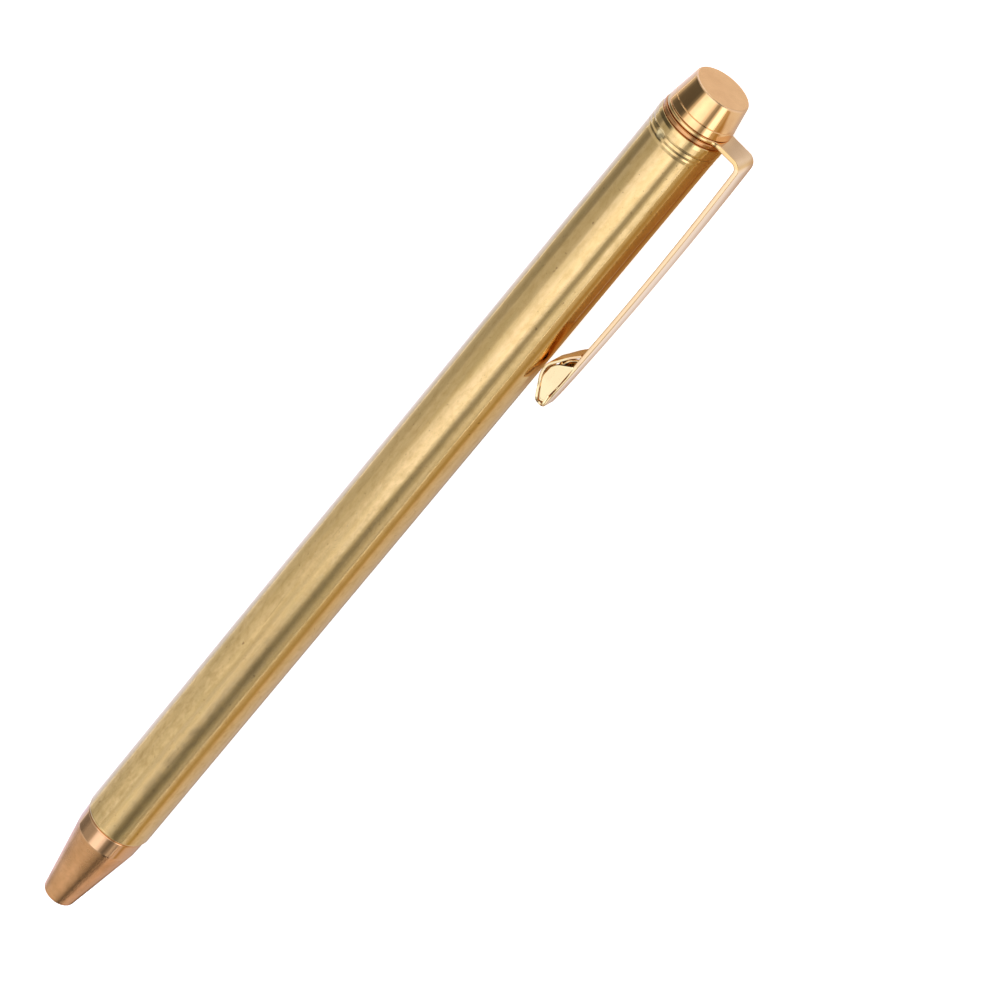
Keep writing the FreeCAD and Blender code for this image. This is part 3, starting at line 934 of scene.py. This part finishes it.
def reflected_card():
    """Card on the floor that only reflections show, glowing with painted shade and reflections: a
    painted shadow dark under the pen, painted warm shade and reflections of the clip on the clip's
    side.
    """
    far = 0.3
    reach = 70                   # millimetres either side of the axis
    piece = flat_piece("reflected_card", -far, far, -far, far, 1.5e-5)
    m = Nodes("reflected_card")
    parts = m.add("ShaderNodeSeparateXYZ")
    m.feed(parts.inputs[0], m.add("ShaderNodeTexCoord").outputs["Object"])
    away = m.spread(parts.outputs["Y"], AXIS_Y + reach * MM, AXIS_Y - reach * MM, -reach, reach)
    # the glow at so many millimetres from under the axis, towards the clip's side; the dark values
    # close under the pen and the clip are painted shadow, the warm bands further out on the clip's
    # side painted shade and reflections of the clip
    beyond = [
        (-70, (0.76, 0.83, 1.15)), (-44, (0.78, 0.86, 1.22)), (-18, (0.88, 0.96, 1.4)),
        (-11, (0.96, 1.0, 1.25)), (-5, (0.92, 0.9, 0.95)), (-4, (0.5, 0.4, 0.35)),
        (-2.5, (0.10, 0.045, 0.012)), (2.5, (0.10, 0.045, 0.012)),
    ]
    along_barrel = beyond + [
        (3.7, (0.56, 0.5, 0.46)), (5, (0.62, 0.57, 0.58)), (8, (0.68, 0.63, 0.64)),
        (12, (0.70, 0.61, 0.54)), (14.5, (0.62, 0.48, 0.34)), (16.5, (0.46, 0.35, 0.17)),
        (24, (0.46, 0.35, 0.17)), (30, (0.56, 0.46, 0.32)), (70, (0.64, 0.55, 0.42)),
    ]
    under_clip = beyond[:-2] + [
        (-2.5, (0.52, 0.31, 0.13)), (2.5, (0.52, 0.31, 0.13)),
        (3.7, (0.42, 0.24, 0.1)), (4.7, (0.41, 0.23, 0.08)), (6, (0.31, 0.12, 0.025)),
        (6.6, (0.6, 0.5, 0.45)), (7.2, (0.95, 0.94, 1.0)), (10, (0.95, 0.94, 1.0)),
        (13, (0.66, 0.56, 0.46)), (16.5, (0.46, 0.32, 0.14)), (24, (0.46, 0.32, 0.14)),
        (30, (0.56, 0.46, 0.32)), (70, (0.64, 0.55, 0.42)),
    ]
    before_nose = beyond + [
        (3.7, (0.56, 0.5, 0.46)), (6, (0.72, 0.68, 0.76)), (20, (0.74, 0.69, 0.72)),
        (70, (0.64, 0.56, 0.48)),
    ]
    past_tail = beyond[:4] + [
        (-8, (0.74, 0.64, 0.56)), (1, (0.76, 0.68, 0.62)), (3, (0.56, 0.52, 0.54)),
        (4.5, (0.7, 0.67, 0.72)), (6, (0.82, 0.82, 0.92)), (70, (0.85, 0.83, 0.9)),
    ]
    colour = m.mix(m.along(-10, -3), m.ramp(away, before_nose), m.ramp(away, along_barrel))
    colour = m.mix(m.along(93, 98), colour, m.ramp(away, under_clip))
    colour = m.mix(m.along(133.8, 135.2), colour, m.ramp(away, past_tail))
    # a painted dark far corner, which only the cone's flank mirrors
    ahead = m.math("SUBTRACT", NOSE_X, parts.outputs["X"])
    aside = m.math("MAXIMUM", m.math("SUBTRACT", AXIS_Y, parts.outputs["Y"]), 1 * MM)
    corner = m.spread(m.math("DIVIDE", ahead, aside), 0.78, 0.92)
    corner = m.math("MULTIPLY", corner, m.spread(away, 22, 36))
    colour = m.mix(corner, colour, (0.04, 0.02, 0.01))
    m.feed(m.shader.inputs["Base Color"], (0, 0, 0, 1))
    m.feed(m.shader.inputs["Emission Color"], colour)
    m.feed(m.shader.inputs["Emission Strength"], 1.0)
    m.feed(m.shader.inputs["Specular IOR Level"], 0.0)
    piece.data.materials.append(m.material)
    piece.visible_camera = False
    piece.visible_diffuse = False
    piece.visible_shadow = False


def camera():
    azimuth = math.radians(51.07)
    elevation = math.radians(48.03)
    roll = math.radians(-92.36)
    target = Vector((0.01045, -0.00482, -0.00449))
    distance = 0.51357
    back = Vector((
        math.sin(azimuth) * math.cos(elevation),
        -math.cos(azimuth) * math.cos(elevation),
        math.sin(elevation),
    ))
    level_right = Vector((math.cos(azimuth), math.sin(azimuth), 0))
    level_up = back.cross(level_right)
    right = level_right * math.cos(roll) + level_up * math.sin(roll)
    up = back.cross(right)
    turn = Matrix((right, up, back)).transposed().to_4x4()
    data = bpy.data.cameras.new("camera")
    data.lens = 164.12
    data.sensor_width = 36
    data.clip_start = 0.01
    holder = bpy.data.objects.new("camera", data)
    holder.matrix_world = Matrix.Translation(target + back * distance) @ turn
    bpy.context.scene.collection.objects.link(holder)
    bpy.context.scene.camera = holder


camera()
sky()
floor()
reflected_card()
pieces = [
    barrel_tube(), top_ring(), nose_cone(), top_bush(), knob(), writing_tip(), clip(), return_spring(),
]
give_materials(all_materials(), pieces)
bpy.context.scene.view_settings.view_transform = "Standard"
